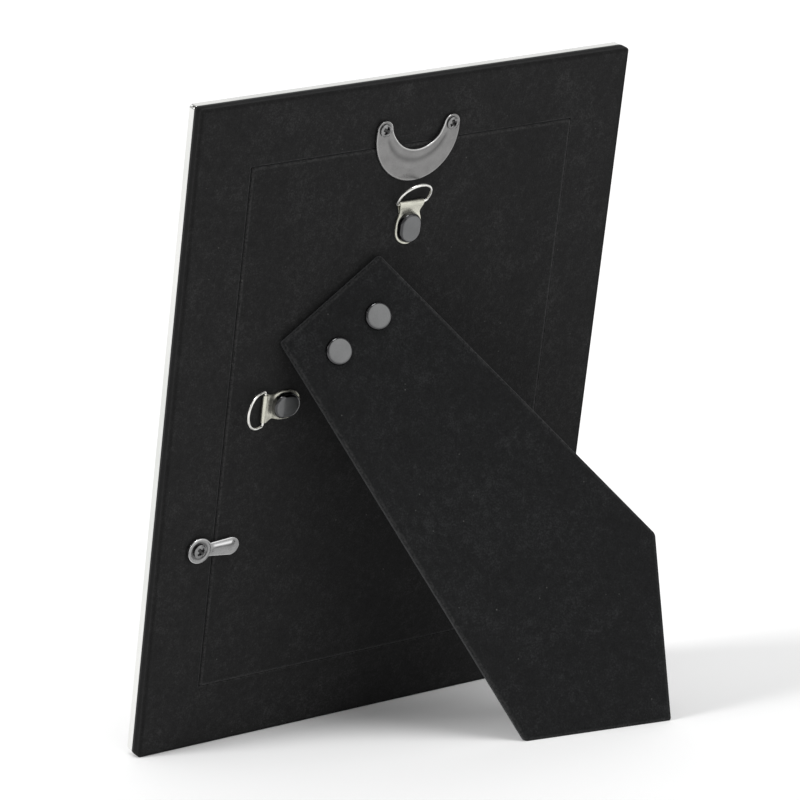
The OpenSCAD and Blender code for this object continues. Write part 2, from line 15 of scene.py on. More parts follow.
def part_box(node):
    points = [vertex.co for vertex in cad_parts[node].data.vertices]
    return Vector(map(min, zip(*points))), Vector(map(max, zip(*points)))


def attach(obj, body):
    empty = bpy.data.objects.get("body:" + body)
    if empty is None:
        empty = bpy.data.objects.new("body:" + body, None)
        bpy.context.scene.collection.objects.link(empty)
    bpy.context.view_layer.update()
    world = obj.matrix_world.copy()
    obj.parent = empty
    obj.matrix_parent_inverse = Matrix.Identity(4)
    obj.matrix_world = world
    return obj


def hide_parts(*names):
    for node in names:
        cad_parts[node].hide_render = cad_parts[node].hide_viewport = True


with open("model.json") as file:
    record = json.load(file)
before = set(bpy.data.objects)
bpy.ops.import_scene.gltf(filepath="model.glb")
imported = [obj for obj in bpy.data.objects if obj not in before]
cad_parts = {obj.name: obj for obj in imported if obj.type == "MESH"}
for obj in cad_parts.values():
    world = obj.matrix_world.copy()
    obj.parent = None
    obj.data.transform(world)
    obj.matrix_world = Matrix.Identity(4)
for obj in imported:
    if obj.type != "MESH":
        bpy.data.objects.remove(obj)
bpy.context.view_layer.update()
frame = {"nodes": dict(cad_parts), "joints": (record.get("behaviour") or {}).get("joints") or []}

# ---- dimensions, as in part.scad ----

MM = 0.001
FRAME_W, FRAME_H, LEAN, CORNER_R = 176.0, 232.0, 14.2, 1.0
FACE_W, SHEET_T, EDGE_DEPTH, LIP_DEPTH, FACE_SWELL = 28.0, 0.8, 7.4, 7.0, 2.0
BORDER_FRONT, SILVER_BACK, VELVET_T = -4.2, -4.3, 0.4
OPENING = (132.1, 187.3)
PANEL = (131.1, 186.3)
PANEL_TOP = 0.5
GLASS_T = 1.6
HINGE = (26.0, 1.9, 153.6)
OPEN_ANGLE, HINGE_SLANT = 26.8, 34.8
STRUT_INNER, STRUT_OUTER = 1.4, 4.2
STRUT_TOP_W, STRUT_FLARE, STOP_GAP = 45.2, 6.85, 0.08
FOOT_POINT, FOOT_SIDE_SLOPE = 3.0, 55.7
STRUT_TOP_R, FOOT_SIDE_R, FOOT_POINT_R, FOOT_HEEL_R = 1.2, 3.0, 1.0, 1.8
STRUT_RIVET_R, STRUT_RIVET_H, STRUT_RIVET_X, STRUT_RIVET_DOWN = 4.7, 1.4, 9.0, 9.2
SCREW_SHANK_R = 0.9
TOP_HANGER = (-0.3, 180.0)
SIDE_HANGER = (43.1, 122.7)
STRAP_T, FOLD_R, STRAP_L, STRAP_ROUND_R = 0.4, 0.96, 8.7, 5.1
STRAP_WAIST, STRAP_FOLD = 8.8, 9.8
HANGER_RIVET_R, HANGER_RIVET_STRETCH, HANGER_RIVET_H = 4.3, 1.9, 2.0
WIRE_R, RING_HALF_W, RING_REACH, RING_BEND_R = 0.5, 6.3, 9.0, 1.0
TOP_RING_LIFT, SIDE_RING_LIFT = 30.0, 20.0
CLIP_AT, CLIP_TURN = (-0.2, 215.6), -1.9
CLIP_R, CLIP_DROP, CLIP_INNER_R, CLIP_INNER_UP, CLIP_SCREW_X = 17.0, 2.0, 11.2, 3.4, 13.85
CLIP_LEVEL, CLIP_T = 0.6, 0.8
BUTTON_AT, BUTTON_TURN = (72.3, 74.5), 1.5
BUTTON_R, BUTTON_L, BUTTON_ROOT_W, BUTTON_TIP_W, BUTTON_T = 4.6, 15.8, 4.2, 6.6, 1.1
SCREW_HEAD_R, BUTTON_HEAD_R, SCREW_HEAD_H = 2.25, 2.5, 1.1

# ---- places ----


def turn(axis, degrees):
    return Matrix.Rotation(math.radians(degrees), 4, axis)


def upright_to_world():
    """The upright frame leaned back, then moved so that the hinge pin is where the record says."""
    pin = next(j for j in frame["joints"] if j["name"] == "strut_hinge")["pos_m"]
    lean = Matrix.Scale(MM, 4) @ turn("X", -LEAN)
    return Matrix.Translation(Vector(pin) - lean @ Vector(HINGE)) @ lean


STAND = upright_to_world()
AT_STRUT = STAND @ Matrix.Translation(HINGE) @ turn("Y", HINGE_SLANT) @ turn("X", OPEN_ANGLE)
AT_TOP_HANGER = STAND @ Matrix.Translation((TOP_HANGER[0], PANEL_TOP, TOP_HANGER[1]))
AT_SIDE_HANGER = (STAND @ Matrix.Translation((SIDE_HANGER[0], PANEL_TOP, SIDE_HANGER[1]))
                  @ turn("Y", 90))
AT_CLIP = STAND @ Matrix.Translation((CLIP_AT[0], 0, CLIP_AT[1])) @ turn("Y", CLIP_TURN)
AT_BUTTON = STAND @ Matrix.Translation((BUTTON_AT[0], 0, BUTTON_AT[1])) @ turn("Y", -BUTTON_TURN)

# ---- mesh building ----


def piece(name, verts, faces, place, body, material, replaced, smooth=40, painted_light_and_wear=None):
    """Makes a mesh piece from points in its own frame, in mm, parents it to the body it rides on and hides
    the CAD nodes that it replaces.
    """
    mesh = bpy.data.meshes.new(name)
    mesh.from_pydata([place @ Vector(v) for v in verts], [], faces)
    mesh.validate()
    face_outward(mesh)
    mesh.shade_smooth()
    if smooth < 180:
        mesh.set_sharp_from_angle(angle=math.radians(smooth))
    # The per-point attribute made here carries painted light into the colours: painted shade, painted
    # sheen, painted highlights and the rivets' painted dark reflection, with the glossier polish of rubbed
    # edges.
    if painted_light_and_wear is not None:
        layer = mesh.attributes.new("painted_light_and_wear", "FLOAT", "POINT")
        layer.data.foreach_set("value", painted_light_and_wear)
    mesh.materials.append(material)
    made = bpy.data.objects.new(name, mesh)
    bpy.context.scene.collection.objects.link(made)
    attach(made, body)
    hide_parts(*replaced)
    return made


def face_outward(mesh):
    work = bmesh.new()
    work.from_mesh(mesh)
    bmesh.ops.recalc_face_normals(work, faces=work.faces)
    work.to_mesh(mesh)
    work.free()
    mesh.update()


def loft(rings, closed=False):
    """Joins rings of the same number of points, with a cap at both ends unless it closes on itself."""
    count = len(rings[0])
    verts = [p for ring in rings for p in ring]
    faces = []
    spans = len(rings) if closed else len(rings) - 1
    for i in range(spans):
        a, b = i * count, (i + 1) % len(rings) * count
        for j in range(count):
            k = (j + 1) % count
            faces.append((a + j, b + j, b + k, a + k))
    if not closed:
        faces.append(tuple(range(count)))
        faces.append(tuple(reversed(range(len(verts) - count, len(verts)))))
    return verts, faces


def join(*parts):
    """Several (verts, faces) as one."""
    verts, faces = [], []
    for part_verts, part_faces in parts:
        start = len(verts)
        verts += part_verts
        faces += [tuple(start + i for i in face) for face in part_faces]
    return verts, faces


def steps(low, high, count):
    return [low + (high - low) * i / count for i in range(count + 1)]


def arc(centre, radius, start, end, count):
    """Points on a circle in a plane, the angles in degrees."""
    return [(centre[0] + radius * math.cos(math.radians(a)), centre[1] + radius * math.sin(math.radians(a)))
            for a in steps(start, end, count)]


def soften(x, low, high):
    """0 below low, 1 above high and a smooth rise between them."""
    t = min(1.0, max(0.0, (x - low) / (high - low)))
    return t * t * (3 - 2 * t)


def bell(x, middle, width):
    """A smooth bump of height 1."""
    return math.exp(-((x - middle) / width) ** 2)


def ripple(x, y, size, seed):
    """Smooth noise between about -1 and 1, with features of the given size."""
    return noise.noise(Vector((x / size, y / size, seed)))


# ---- materials ----


class Shader:
    """A principled material, and short ways to add the nodes that it needs."""

    def __init__(self, name, **uniform):
        self.material = bpy.data.materials.new(name)
        self.material.use_nodes = True
        self.tree = self.material.node_tree
        self.bsdf = self.tree.nodes["Principled BSDF"]
        for socket, value in uniform.items():
            self.bsdf.inputs[socket.replace("_", " ")].default_value = value
        self.coords = self.tree.nodes.new("ShaderNodeTexCoord").outputs["Object"]

    def feed(self, socket, value):
        if isinstance(value, bpy.types.NodeSocket):
            self.tree.links.new(value, socket)
        else:
            socket.default_value = value

    def node(self, kind, inputs, **settings):
        made = self.tree.nodes.new(kind)
        for key, value in settings.items():
            setattr(made, key, value)
        for socket, value in inputs.items():
            self.feed(made.inputs[socket], value)
        return made

    def grain(self, size_mm, detail=3.0, rough=0.55, stretch=(1, 1, 1), turned=(0, 0, 0)):
        """Noise with features of about this size."""
        placed = self.node("ShaderNodeMapping", {"Vector": self.coords, "Scale": stretch,
                                                 "Rotation": [math.radians(a) for a in turned]})
        return self.node("ShaderNodeTexNoise", {
            "Vector": placed.outputs[0], "Scale": 1 / (size_mm * MM), "Detail": detail,
            "Roughness": rough}).outputs["Fac"]

    def specks(self, spacing_mm, size, share):
        """Small round dots in some of the cells of a Voronoi pattern, 1 in a dot and 0 elsewhere."""
        cells = self.node("ShaderNodeTexVoronoi", {"Vector": self.coords,
                                                   "Scale": 1 / (spacing_mm * MM)})
        chosen = self.math("LESS_THAN", cells.outputs["Color"], share)
        return self.math("MULTIPLY", self.span(cells.outputs["Distance"], 0, size, 1, 0), chosen)

    def attribute(self, name):
        return self.node("ShaderNodeAttribute", {}, attribute_name=name).outputs["Fac"]

    def math(self, operation, a, b=0.5):
        return self.node("ShaderNodeMath", {0: a, 1: b}, operation=operation).outputs[0]

    def span(self, value, low, high, to_low, to_high):
        return self.node("ShaderNodeMapRange", {
            "Value": value, "From Min": low, "From Max": high, "To Min": to_low,
            "To Max": to_high}).outputs[0]

    def ramp(self, value, *stops):
        """A colour ramp through (place, colour) stops."""
        made = self.node("ShaderNodeValToRGB", {"Fac": value})
        bar = made.color_ramp.elements
        while len(bar) < len(stops):
            bar.new(0.5)
        for element, (place, colour) in zip(bar, stops):
            element.position = place
            element.color = (*colour, 1)
        return made.outputs["Color"]

    def mix(self, factor, a, b):
        made = self.node("ShaderNodeMix", {0: factor}, data_type="RGBA")
        self.feed(made.inputs[6], a)
        self.feed(made.inputs[7], b)
        return made.outputs[2]

    def set(self, socket, value):
        self.feed(self.bsdf.inputs[socket], value)

    def bump(self, height, depth_mm, strength=1.0, under=None):
        inputs = {"Height": height, "Distance": depth_mm * MM, "Strength": strength}
        if under is not None:
            inputs["Normal"] = under
        made = self.node("ShaderNodeBump", inputs)
        self.set("Normal", made.outputs[0])
        return made.outputs[0]


def grey(value, warmth=0.0):
    return (value * (1 + warmth), value, value * (1 - warmth))


def velvet(name, level, warmth=0.0):
    """Short black pile: speckled fibres, brushed patches and lint, with a painted sheen where the attribute
    is above 0 and painted shade where it is below."""
    s = Shader(name, Sheen_Roughness=0.45, Specular_IOR_Level=0.12)
    s.set("Sheen Tint", (0.8, 0.82, 0.85, 1))
    fibres = s.grain(0.6, detail=4, rough=0.75)
    brushed = s.grain(2.4, detail=4, rough=0.65, stretch=(1, 0.6, 1), turned=(0, 25, 20))
    patches = s.grain(16, detail=4, rough=0.6)
    mixed = s.math("ADD", s.math("MULTIPLY", fibres, 0.5), s.math("MULTIPLY", brushed, 0.25))
    mixed = s.math("ADD", mixed, s.math("MULTIPLY", patches, 0.25))
    pile = s.ramp(mixed, (0.38, grey(level * 0.5, warmth)), (0.52, grey(level, warmth)),
                  (0.66, grey(level * 2.6, warmth)))
    painted_light_and_wear = s.attribute("painted_light_and_wear")
    s.set("Sheen Weight", s.span(painted_light_and_wear, -0.8, 0, 0.02, 0.12))
    # Painted shade: the colour darkened where the attribute is below 0, on the border's outer side walls.
    pile = s.mix(s.math("MULTIPLY", painted_light_and_wear, -1), pile, (*grey(level * 0.3), 1))
    # Painted sheen: a lighter, grainy colour where the attribute is above 0, along the folds.
    edge = s.math("MULTIPLY", painted_light_and_wear, s.span(s.grain(0.8, detail=2), 0.35, 0.7, 0, 0.75))
    pile = s.mix(edge, pile, (*grey(level * 4.2), 1))
    lint = s.math("MAXIMUM", s.specks(9, 0.04, 0.2), s.specks(2.6, 0.11, 0.16))
    s.set("Base Color", s.mix(s.math("MULTIPLY", lint, 0.5), pile, (0.2, 0.2, 0.19, 1)))
    s.set("Roughness", s.span(patches, 0.3, 0.7, 0.82, 0.98))
    s.bump(fibres, 0.12, 0.8, under=s.bump(brushed, 0.18, 0.5))
    return s.material


def satin_metal(name, colour, rough, grain_mm=0.5, depth_mm=0.01, stretch=(1, 1, 1), tarnish=0.75):
    """Plated or blasted metal: cloudy tarnish and fine grain, with painted shade where the attribute is
    above 0 and, where it is below, a glossier polish with a painted highlight."""
    s = Shader(name, Metallic=1.0)
    clouds = s.grain(5, detail=4)
    fine = s.grain(grain_mm, detail=3, stretch=stretch)
    shade = s.math("ADD", s.math("MULTIPLY", clouds, 0.6), s.math("MULTIPLY", fine, 0.4))
    clean = s.ramp(shade, (0.32, tuple(c * tarnish for c in colour)), (0.62, colour))
    painted_light_and_wear = s.attribute("painted_light_and_wear")
    # Painted highlight: the colour brightened where the attribute is below 0, on edges and ridges.
    rubbed = s.mix(s.math("MULTIPLY", painted_light_and_wear, -1), clean, (*(min(0.95, c * 2.6) for c in colour), 1))
    # Painted shade: the colour taken towards black where the attribute is above 0.
    s.set("Base Color", s.mix(painted_light_and_wear, rubbed, (0.012, 0.012, 0.012, 1)))
    satin = s.span(fine, 0.3, 0.7, rough * 0.8, rough * 1.25)
    s.set("Roughness", s.math("MULTIPLY", satin, s.span(painted_light_and_wear, -1, 0, 0.55, 1)))
    s.bump(fine, depth_mm, 0.6)
    return s.material


def rivet_metal_painted_reflection(name, face_colour):
    """Grey rivet metal whose walls are painted glossy near-black, a painted reflection of the black velvet
    round it; the face, where the attribute is 1, keeps its satin grey.
    """
    s = Shader(name, Metallic=1.0, Coat_Weight=1.0, Coat_Roughness=0.08)
    clouds = s.grain(4, detail=4)
    fine = s.grain(0.35, detail=3)
    grey_face = s.attribute("painted_light_and_wear")
    face = s.ramp(s.math("ADD", s.math("MULTIPLY", clouds, 0.6), s.math("MULTIPLY", fine, 0.4)),
                  (0.32, tuple(c * 0.82 for c in face_colour)), (0.62, face_colour))
    # Painted reflection: near-black on the walls, grey only on the face.
    s.set("Base Color", s.mix(grey_face, (0.03, 0.03, 0.032, 1), face))
    s.set("Roughness", s.math("ADD", s.math("MULTIPLY", grey_face, 0.22), s.span(fine, 0.3, 0.7, 0.1, 0.18)))
    s.bump(fine, 0.006, 0.6)
    return s.material


def polished_silver():
    """Silver plate: clear reflections, faint rubbing marks and a little smear of handling."""
    s = Shader("polished_silver", Metallic=1.0, Coat_Weight=0.15, Coat_Roughness=0.05)
    smear = s.grain(22, detail=4, rough=0.6, stretch=(0.7, 0.7, 0.35))
    rubbed = s.grain(0.5, detail=3, stretch=(1, 1, 0.08))
    s.set("Base Color", s.ramp(smear, (0.34, (0.68, 0.69, 0.67)), (0.62, (0.80, 0.80, 0.78))))
    s.set("Roughness", s.span(s.math("MULTIPLY", smear, rubbed), 0.1, 0.5, 0.07, 0.22))
    s.bump(rubbed, 0.004, 0.4)
    return s.material


def glazing():
    s = Shader("clear_glass", Transmission_Weight=1.0, IOR=1.5)
    s.set("Base Color", (0.97, 0.99, 0.98, 1))
    smear = s.grain(30, detail=3)
    s.set("Roughness", s.span(smear, 0.4, 0.8, 0.0, 0.03))
    s.bump(smear, 0.01, 0.1)
    return s.material


def fibrous(name, dark, light, size_mm, stretch=(1, 1, 1), rough=0.8, depth_mm=0.05):
    """Wood, board, card or paper: streaks or flecks of two tones with a matching relief."""
    s = Shader(name, Specular_IOR_Level=0.3)
    streaks = s.grain(size_mm, detail=5, rough=0.6, stretch=stretch)
    s.set("Base Color", s.ramp(streaks, (0.3, dark), (0.7, light)))
    s.set("Roughness", s.span(streaks, 0.3, 0.7, rough * 0.85, min(1, rough * 1.1)))
    s.bump(streaks, depth_mm, 0.5)
    return s.material


# Satin metals: colour, roughness, grain size in mm, relief in mm
METALS = {
    "clip_steel": (grey(0.24, 0.01), 0.32, 0.35, 0.006),
    "button_steel": (grey(0.34), 0.22, 0.4, 0.008),
    "strap_nickel": ((0.70, 0.69, 0.60), 0.30, 0.3, 0.006),
    "ring_nickel": ((0.93, 0.92, 0.88), 0.22, 0.6, 0.004),
    "screw_steel": (grey(0.25), 0.20, 0.3, 0.01),
    "hinge_steel": (grey(0.42), 0.35, 0.4, 0.008),
}
MATERIALS = {name: satin_metal(name, *look) for name, look in METALS.items()}
MATERIALS["silver"] = polished_silver()
MATERIALS["rivet_grey"] = rivet_metal_painted_reflection("rivet_grey", grey(0.125, -0.02))
MATERIALS["strut_rivet_grey"] = rivet_metal_painted_reflection("strut_rivet_grey", grey(0.145, -0.01))
MATERIALS["border_velvet"] = velvet("velvet_border", 0.0135)
MATERIALS["panel_velvet"] = velvet("velvet_panel", 0.0120)
MATERIALS["strut_velvet"] = velvet("velvet_strut", 0.0105, -0.03)

# ---- silver moulding ----


def moulding_profile():
    """(inset, level) points round the moulding's section: rounded back edge, swelling face, beaded lip."""
    def face(u):
        return -(EDGE_DEPTH + (LIP_DEPTH - EDGE_DEPTH) * u + 4 * FACE_SWELL * u * (1 - u))

    edge_r, bead_from, bead_h, roll = 0.9, 0.915, 0.55, 0.35
    outside = arc((roll, SILVER_BACK - roll), roll, 90, 180, 5)
    outside += [(0, level) for level in steps(SILVER_BACK - 0.8, -EDGE_DEPTH + edge_r, 3)]
    for i in range(1, 6):
        a = math.radians(68 * i / 6)
        outside.append((edge_r * (1 - math.cos(a)), -EDGE_DEPTH + edge_r * (1 - 1.25 * math.sin(a))))
    for u in steps(0.035, bead_from, 30):
        outside.append((FACE_W * u, face(u)))
    for k in range(1, 10):
        u = bead_from + (1 - bead_from) * k / 9.5
        outside.append((FACE_W * u, face(u) - bead_h * math.sin(math.pi * k / 10)))
    outside += [(FACE_W, face(1) + 0.1), (FACE_W, face(1) + SHEET_T - 0.1)]
    inside = [(FACE_W * u, face(u) + SHEET_T) for u in steps(0.985, 0.06, 16)]
    inside += [(SHEET_T, -EDGE_DEPTH + SHEET_T), (SHEET_T, SILVER_BACK - 0.15),
               (SHEET_T - 0.15, SILVER_BACK)]
    return outside + inside


# The share of half a rail's length that bends round its corner, and the gap left at each rail's mitre
ROUND_SHARE, MITRE_GAP = 0.02, 0.3


def rail_ring(profile, along, half):
    """The section at one place of a rail, along from -1 to 1; the ends follow the rounded corner."""
    reach = 1 - abs(along)
    from_mitre = math.radians(45 * (1 - min(1, reach / ROUND_SHARE)))
    corner = half - CORNER_R
    ring = []
    for inset, level in profile:
        r = CORNER_R - inset
        if r <= 0:
            x, height = (half - inset - MITRE_GAP) * along, inset
        elif reach < ROUND_SHARE:
            x = math.copysign(corner + r * math.sin(from_mitre) - MITRE_GAP, along)
            height = CORNER_R - r * math.cos(from_mitre)
        else:
            x, height = (corner - MITRE_GAP) * along / (1 - ROUND_SHARE), inset
        ring.append((x, level, height))
    return ring


def rail(name, node, length, place):
    profile = moulding_profile()
    end = [1 - ROUND_SHARE * k / 6 for k in range(7)]
    along = end + steps(0.9, -0.9, 8) + [-a for a in reversed(end)]
    verts, faces = loft([rail_ring(profile, a, length / 2) for a in along])
    piece(name, verts, faces, STAND @ place, "frame", MATERIALS["silver"], [node], smooth=35)


def silver_rails():
    up = Matrix.Translation((0, 0, FRAME_H)) @ turn("Y", 180)
    mid = Matrix.Translation((0, 0, FRAME_H / 2))
    side = Matrix.Translation((0, 0, -FRAME_W / 2))
    rail("silver_bottom", "rail_bottom", FRAME_W, Matrix.Identity(4))
    rail("silver_top", "rail_top", FRAME_W, up)
    rail("silver_left", "rail_left", FRAME_H, mid @ turn("Y", 90) @ side)
    rail("silver_right", "rail_right", FRAME_H, mid @ turn("Y", -90) @ side)


# ---- velvet ----


def rectangle_ring(half_x, half_z, corner, level, per_side=(44, 58)):
    """A rounded rectangle round the frame's middle, as evenly spaced points."""
    ring = []
    corners = ((1, 1, 0), (-1, 1, 90), (-1, -1, 180), (1, -1, 270))
    for n, (sx, sz, start) in enumerate(corners):
        centre = (sx * (half_x - corner), sz * (half_z - corner))
        ring += arc(centre, corner, start, start + 90, 4)
        nx, nz, to = corners[(n + 1) % 4]
        target = (nx * (half_x - corner) + corner * math.cos(math.radians(to)),
                  nz * (half_z - corner) + corner * math.sin(math.radians(to)))
        last = ring[-1]
        count = per_side[n % 2]
        ring += [(last[0] + (target[0] - last[0]) * k / count,
                  last[1] + (target[1] - last[1]) * k / count) for k in range(1, count)]
    return [(x, level, FRAME_H / 2 + z) for x, z in ring]


def fold(edge, surface, radius, count=5):
    """(inset, level) points of cloth turning over an edge, from its side up to its flat."""
    return [(edge + radius * (1 - math.cos(a)), surface - radius * (1 - math.sin(a)))
            for a in steps(0, math.pi / 2, count)]


def uneven(ring, amount, seed):
    """The ring with the slight waves of cloth glued over board."""
    return [(x, y + amount * (ripple(x, z, 13, seed) + 0.5 * ripple(x, z, 3.5, seed + 7)), z)
            for x, y, z in ring]


def velvet_piece(name, rings, closed, node, material, place=STAND, body="frame"):
    """rings holds (points, painted light) pairs: painted sheen above 0 and painted shade below 0."""
    verts, faces = loft([ring for ring, _ in rings], closed)
    painted_light_and_wear = [w for ring, w in rings for _ in ring]
    return piece(name, verts, faces, place, body, material, [node], smooth=180, painted_light_and_wear=painted_light_and_wear)


def border_velvet():
    """The border's pile: drawn over the board's sides outside, turned down into the groove inside."""
    outer_x, outer_z = FRAME_W / 2, FRAME_H / 2
    inner_x, inner_z = OPENING[0] / 2, OPENING[1] / 2
    skin, fold_r, groove_r = 0.12, 0.8, 0.5
    hem, groove = BORDER_FRONT + 0.6, -1.5
    flat_from, flat_to, spans = 1.5, 2.1, 15

    def outer_ring(inset, level):
        return rectangle_ring(outer_x - inset, outer_z - inset, max(CORNER_R - inset, 0.6), level)

    rings = [(outer_ring(0, hem), 0), (outer_ring(-skin, hem + 0.1), 0)]
    # Painted shade: the outer side walls and the outer fold get values below 0, which the velvet darkens.
    rings += [(uneven(outer_ring(-skin, level), 0.03, 2.0), -0.75) for level in (-2.9, -2.2, -1.5)]
    rings += [(outer_ring(inset, level), -0.4) for inset, level in fold(-skin, 0, fold_r)]
    rings.append((outer_ring(flat_from, 0), 0))
    for k in range(1, spans):
        half_x, half_z = (outer - flat_from + (inner + flat_to - outer) * k / spans
                          for outer, inner in ((outer_x, inner_x), (outer_z, inner_z)))
        rings.append((uneven(rectangle_ring(half_x, half_z, 0.6, 0), 0.035, 1.0), 0))
    rings.append((rectangle_ring(inner_x + 0.5, inner_z + 0.5, 0.5, 0), 0))
    # Painted sheen: the fold down into the groove gets values above 0, which the velvet lightens.
    for inset, level in reversed(fold(-skin, 0, groove_r)):
        rings.append((rectangle_ring(inner_x + inset, inner_z + inset, 0.4, level), 0.7))
    rings.append((rectangle_ring(inner_x - skin, inner_z - skin, 0.4, groove), 0.1))
    rings.append((rectangle_ring(inner_x, inner_z, 0.4, groove), 0))
    rings.append((rectangle_ring(inner_x, inner_z, 0.4, -VELVET_T), 0))
    rings.append((outer_ring(0, -VELVET_T), 0))
    rest_on_table(velvet_piece("border_pile", rings, True, "border_velvet", MATERIALS["border_velvet"]))


def rest_on_table(made):
    """Presses level whatever of the pile would reach into the table."""
    for v in made.data.vertices:
        v.co.z = max(v.co.z, 0.0)


def panel_velvet():
    """The lift-out panel's pile, turned down its four edges."""
    half_x, half_z = PANEL[0] / 2, PANEL[1] / 2
    under, turned_to, wrap, fold_r = PANEL_TOP - VELVET_T, -1.2, 0.18, 0.55
    # Painted sheen: the rings at the turned edge and round its fold get values above 0, which the velvet
    # lightens.
    rings = [(rectangle_ring(half_x * 0.1, half_z * 0.1, 0.4, under), 0),
             (rectangle_ring(half_x, half_z, 0.4, under), 0),
             (rectangle_ring(half_x, half_z, 0.4, turned_to), 0),
             (rectangle_ring(half_x + wrap, half_z + wrap, 0.5, turned_to), 0.1)]
    for inset, level in fold(-wrap, PANEL_TOP, fold_r):
        rings.append((rectangle_ring(half_x - inset, half_z - inset, 0.6, level), 0.8))
    rings.append((rectangle_ring(half_x - 0.9, half_z - 0.9, 0.6, PANEL_TOP), 0))
    for k in range(1, 19):
        t = 0.98 - k / 20
        rings.append((uneven(rectangle_ring(half_x * t, half_z * t, 0.6 * t, PANEL_TOP), 0.035, 4.0), 0))
    velvet_piece("panel_pile", rings, False, "panel_velvet", MATERIALS["panel_velvet"])


def foot_z(x):
    """How far up the open strut its outer face meets the table, at x across it."""
    height, above = ((AT_STRUT @ Vector((x, STRUT_OUTER, z))).z for z in (0, 1))
    return height / (height - above)


def strut_corners():
    """(point, radius) of the strut's corners: top, the foot's side, its point and its heel, top."""
    flare, side_rise = math.tan(math.radians(STRUT_FLARE)), math.tan(math.radians(FOOT_SIDE_SLOPE))
    opened = math.radians(OPEN_ANGLE)
    head = (HINGE[1] - PANEL_TOP + STRUT_INNER * math.cos(opened) - STOP_GAP) / math.sin(opened)

    def edge_x(z):
        return STRUT_TOP_W / 2 + (head - z) * flare

    point = Vector((-FOOT_POINT, foot_z(-FOOT_POINT)))
    side_z = (point.y + side_rise * (edge_x(0) + point.x)) / (1 + side_rise * flare)
    slope = foot_z(1) - foot_z(0)
    heel_z = (foot_z(0) + slope * edge_x(0)) / (1 + slope * flare)
    return ((Vector((-STRUT_TOP_W / 2, head)), STRUT_TOP_R),
            (Vector((-edge_x(side_z), side_z)), FOOT_SIDE_R),
            (point, FOOT_POINT_R),
            (Vector((edge_x(heel_z), heel_z)), FOOT_HEEL_R),
            (Vector((STRUT_TOP_W / 2, head)), STRUT_TOP_R))


def drawn_in(corners, inset):
    """(start, direction) of each side of the outline, moved inwards."""
    lines = []
    for (a, _), (b, _) in zip(corners, corners[1:] + corners[:1]):
        d = (b - a).normalized()
        lines.append((a + Vector((-d.y, d.x)) * inset, d))
    return lines


def rounded_corner(before, after, radius, count=6):
    """Points of the round between two sides."""
    (p, d), (q, e) = before, after
    corner = p + d * ((q - p).cross(e) / d.cross(e))
    half = math.pi / 2 - math.acos(max(-1, min(1, d.dot(e)))) / 2
    centre = corner - d * (radius / math.tan(half)) + Vector((-d.y, d.x)) * radius
    start = math.atan2(-d.x, d.y)
    return [centre + radius * Vector((math.cos(a), math.sin(a)))
            for a in steps(start, start + math.pi - 2 * half, count)]


def strut_ring(inset, level, parts=(56, 26, 22, 60, 18)):
    """The strut's outline drawn in by inset, its corners rounded and its sides divided into parts."""
    corners = strut_corners()
    lines = drawn_in(corners, inset)
    rounds = [rounded_corner(lines[i - 1], lines[i], max(radius - inset, 0.3))
              for i, (_, radius) in enumerate(corners)]
    ring = []
    for i, points in enumerate(rounds):
        a, b = points[-1], rounds[(i + 1) % len(rounds)][0]
        ring += points + [a + (b - a) * k / parts[i] for k in range(1, parts[i])]
    return [(p.x, level, p.y) for p in ring]


def strut_velvet():
    """The strut's cover: velvet all round its board, with soft folded edges and the foot pressed level."""
    # Painted sheen: the folded edges, inner and outer, get a value above 0, which the velvet lightens.
    turn_r, painted_sheen = 0.75, 0.75
    flat = [1.3, 3, 5, 8, 11, 14, 17, 19.5, 21.5]
    inner = [(inset, STRUT_INNER, 0) for inset in reversed(flat)]
    inner += [(inset, 2 * STRUT_INNER - level, painted_sheen)
              for inset, level in reversed(fold(0, STRUT_INNER, turn_r))]
    outer = [(inset, level, painted_sheen) for inset, level in fold(0, STRUT_OUTER, turn_r)]
    outer += [(inset, STRUT_OUTER, 0) for inset in flat]
    rings = []
    for inset, level, painted_light_and_wear in inner + outer:
        ring = strut_ring(inset, level)
        if inset >= 3 and level == STRUT_OUTER:
            ring = uneven(ring, 0.04, 9.0)
        rings.append((ring, painted_light_and_wear))
    made = velvet_piece("strut_pile", rings, False, "strut_velvet", MATERIALS["strut_velvet"],
                        AT_STRUT, "strut")
    rest_on_table(made)


# ---- turned metal ----


TURNED_POINTS = 72


def turned(profile, stretch=0.0, count=TURNED_POINTS):
    """A (radius, level) profile turned round y, its two halves pulled apart along z by stretch."""
    rings = []
    for radius, level in profile:
        ring = []
        for k in range(count):
            a = 2 * math.pi * k / count
            z = radius * math.sin(a)
            shift = stretch / 2 * (1 if math.sin(a) >= 0 else -1) * min(1, radius / 1.5)
            ring.append((radius * math.cos(a), level, z + shift))
        rings.append(ring)
    return loft(rings)


def rivet_head(seat, radius, foot_radius, height, rim, crown, stretch=0.0):
    """A flat head: slightly flared wall, rounded rim and a face crowned by a few hundredths."""
    top = seat + height
    wall = [(0.4, seat), (foot_radius, seat), (radius, top - rim)]
    rounded = [(radius - rim * (1 - math.cos(a)), top - rim * (1 - math.sin(a)))
               for a in steps(0, math.pi / 2, 7)]
    face_r = radius - rim
    face = [(face_r * t, top + crown * (1 - t * t)) for t in (0.97, 0.9, 0.75, 0.5, 0.25, 0.08)]
    profile = wall + rounded[1:] + face
    # 1 on the flat face and 0 on the wall and rim, whose colour is a painted dark reflection.
    grey_face = [soften(level, top - rim * 0.08, top - rim * 0.005) for _, level in profile]
    return (*turned(profile, stretch), [w for w in grey_face for _ in range(TURNED_POINTS)])


